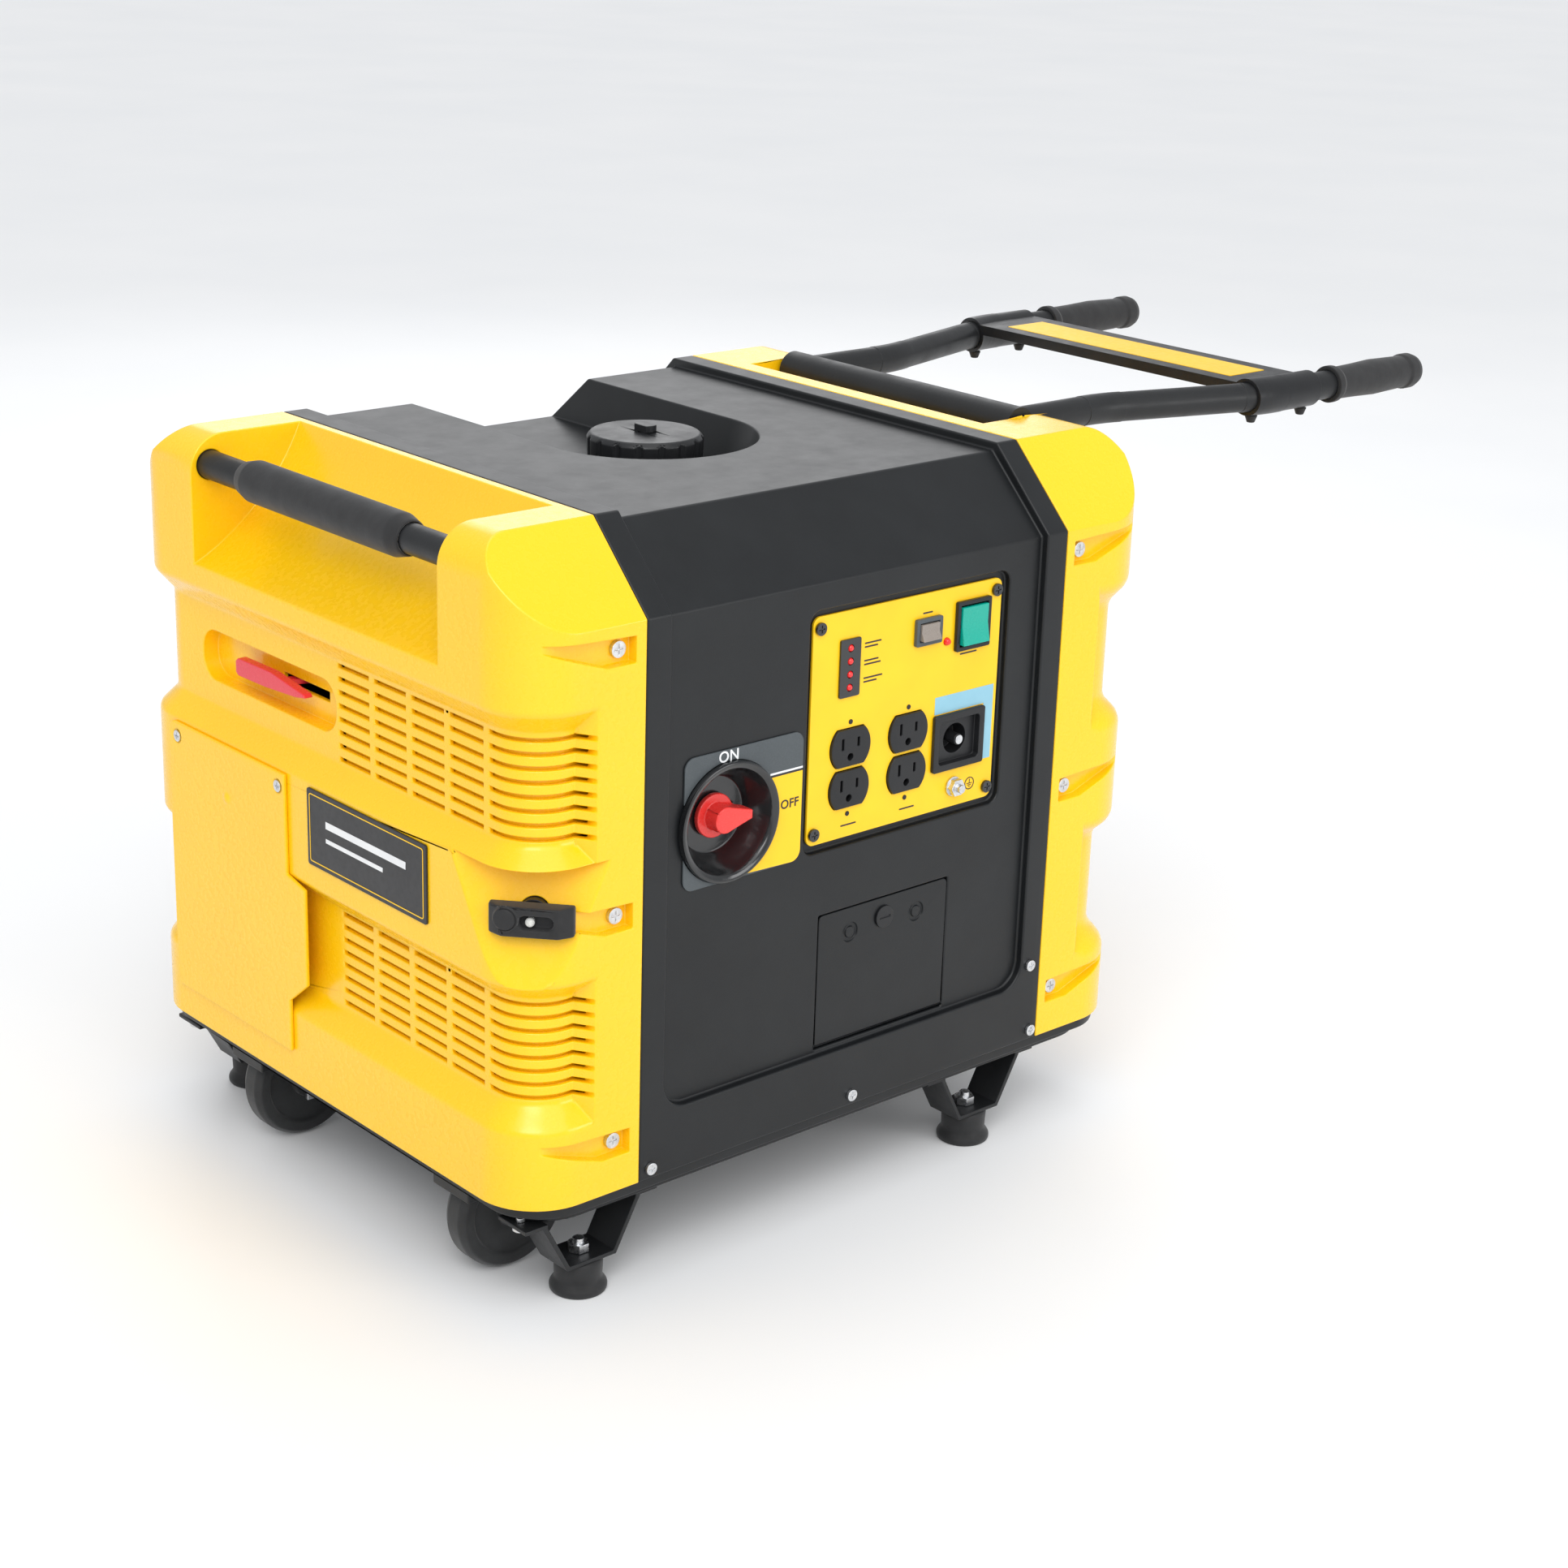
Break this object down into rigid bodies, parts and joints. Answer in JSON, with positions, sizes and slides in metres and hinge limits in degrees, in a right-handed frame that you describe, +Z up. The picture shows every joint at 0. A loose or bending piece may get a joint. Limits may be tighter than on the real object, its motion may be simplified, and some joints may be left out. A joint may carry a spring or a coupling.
{
  "type": "portable inverter generator",
  "caption": "Enclosed portable inverter generator in yellow and black with a fold-down trolley handle, carry handle, wheels, recoil starter and an outlet panel.",
  "frame": {"origin": "middle of the underside: midway along the whole length with the trolley handle out, midway across, at the ground under the rubber feet", "axes": "+X along the length towards the trolley handle; +Y from the control panel to the back; +Z up"},
  "size_m": [0.9528, 0.465, 0.5215],
  "materials": {
    "yellow_shell": "smooth moulded cover, light gloss",
    "black_shell": "fine moulded texture, satin",
    "black_trim": "satin moulded trim",
    "soft_rubber": "matt grip rubber",
    "wheel_rubber": "hard matt wheel rubber",
    "zinc_steel": "zinc plated",
    "dark_steel": "bare dark steel",
    "cast_alloy": "as cast",
    "copper_winding": "varnished copper winding",
    "signal_red": "bright moulded red",
    "green_rocker": "bright moulded green",
    "grey_trim": "satin grey",
    "rope_cord": "braided starter cord"
  },
  "bodies": {
    "housing": {"base_tray": "black_shell", "center_shell": "black_shell", "rear_panel": "black_trim", "left_end_cover": "yellow_shell", "right_end_cover": "yellow_shell", "exhaust_grille": "black_trim", "service_cover": "yellow_shell", "service_cover_screws": "zinc_steel", "name_plate": "black_shell", "cover_screws": "zinc_steel", "shell_screws": "zinc_steel", "control_panel": "yellow_shell", "panel_screws": "zinc_steel", "indicator_window": "black_trim", "indicator_lamps": "signal_red", "ac_outlets": "black_trim", "dc_outlet": "black_trim", "ground_terminal": "zinc_steel", "engine_switch_frame": "black_trim", "eco_switch_frame": "grey_trim", "fuel_label_plate": "grey_trim", "fuel_dial_cup": "black_trim", "fuel_valve": "cast_alloy", "access_door_hinge": "zinc_steel", "carry_handle_tube": "black_trim", "carry_handle_grip": "soft_rubber", "handle_brackets": "black_trim", "fuel_tank": "black_trim", "filler_neck": "zinc_steel", "choke_bracket": "zinc_steel", "rope_guide": "black_trim", "recoil_housing": "black_trim", "wheel_axle": "zinc_steel", "foot_brackets": "black_trim", "rubber_feet": "soft_rubber", "foot_bolts": "zinc_steel", "engine_block": "cast_alloy", "alternator_stator": "copper_winding", "muffler": "dark_steel", "inverter_unit": "cast_alloy", "battery": "black_trim"},
    "trolley_handle": {"handle_frame": "black_trim", "handle_cross_plate": "black_shell", "handle_label": "yellow_shell", "handle_grips": "soft_rubber", "handle_pegs": "black_trim"},
    "near_wheel": {"wheel_near": "wheel_rubber"},
    "far_wheel": {"wheel_far": "wheel_rubber"},
    "fuel_cap_body": {"fuel_cap": "black_trim"},
    "vent_knob_body": {"cap_vent_knob": "black_trim"},
    "fuel_knob_body": {"fuel_dial_knob": "signal_red"},
    "engine_rocker_body": {"engine_switch_rocker": "green_rocker"},
    "eco_rocker_body": {"eco_switch_rocker": "grey_trim"},
    "choke_body": {"choke_lever": "signal_red"},
    "recoil_grip_body": {"recoil_grip": "soft_rubber", "recoil_rope": "rope_cord"},
    "recoil_pulley_body": {"recoil_pulley": "black_trim"},
    "crankshaft_body": {"rotor_flywheel": "dark_steel"},
    "access_door_body": {"access_door": "black_shell"},
    "door_latch_body": {"access_door_latch": "black_trim"}
  },
  "joints": [
    {"name": "trolley_fold", "type": "hinge", "parent": "housing", "child": "trolley_handle", "pos_m": [0.05235, 0, 0.507], "axis": [0, 1, 0], "range_deg": [0, 90]},
    {"name": "near_wheel_spin", "type": "hinge", "parent": "housing", "child": "near_wheel", "pos_m": [-0.42065, -0.142, 0.043], "axis": [0, 1, 0], "continuous": true},
    {"name": "far_wheel_spin", "type": "hinge", "parent": "housing", "child": "far_wheel", "pos_m": [-0.42065, 0.108, 0.043], "axis": [0, 1, 0], "continuous": true},
    {"name": "fuel_cap_lift", "type": "slide", "parent": "housing", "child": "fuel_cap_body", "axis": [0, 0, 1], "range_m": [0, 0.06]},
    {"name": "vent_knob_turn", "type": "hinge", "parent": "fuel_cap_body", "child": "vent_knob_body", "pos_m": [-0.19165, 0.004, 0.51], "axis": [0, 0, 1], "range_deg": [0, 90]},
    {"name": "fuel_knob_turn", "type": "hinge", "parent": "housing", "child": "fuel_knob_body", "pos_m": [-0.30465, -0.224, 0.313], "axis": [0, -1, 0], "range_deg": [0, 90]},
    {"name": "engine_rocker_tilt", "type": "hinge", "parent": "housing", "child": "engine_rocker_body", "pos_m": [-0.08765, -0.2218, 0.407], "axis": [1, 0, 0], "range_deg": [0, 11]},
    {"name": "eco_rocker_tilt", "type": "hinge", "parent": "housing", "child": "eco_rocker_body", "pos_m": [-0.12965, -0.2218, 0.409], "axis": [1, 0, 0], "range_deg": [0, 11]},
    {"name": "choke_swing", "type": "hinge", "parent": "housing", "child": "choke_body", "pos_m": [-0.39865, 0.045, 0.36], "axis": [0, 0, 1], "range_deg": [0, 13]},
    {"name": "recoil_pull", "type": "slide", "parent": "housing", "child": "recoil_grip_body", "axis": [-0.7431, -0.6691, 0], "range_m": [0, 0.15], "stiffness_N_per_m": 15, "springref_m": -0.1},
    {"name": "pulley_turn", "type": "hinge", "parent": "housing", "child": "recoil_pulley_body", "pos_m": [-0.39165, 0, 0.198], "axis": [1, 0, 0], "range_deg": [0, 192]},
    {"name": "crank_spin", "type": "hinge", "parent": "housing", "child": "crankshaft_body", "pos_m": [-0.19165, 0, 0.198], "axis": [1, 0, 0], "continuous": true},
    {"name": "access_door_swing", "type": "hinge", "parent": "housing", "child": "access_door_body", "pos_m": [-0.16065, -0.222, 0.1307], "axis": [1, 0, 0], "range_deg": [0, 90]},
    {"name": "door_latch_turn", "type": "hinge", "parent": "access_door_body", "child": "door_latch_body", "pos_m": [-0.16065, -0.224, 0.2115], "axis": [0, -1, 0], "range_deg": [0, 90]}
  ],
  "couplings": [
    {"joint": "pulley_turn", "follows": "recoil_pull", "rad_per_m": 21.739}
  ]
}
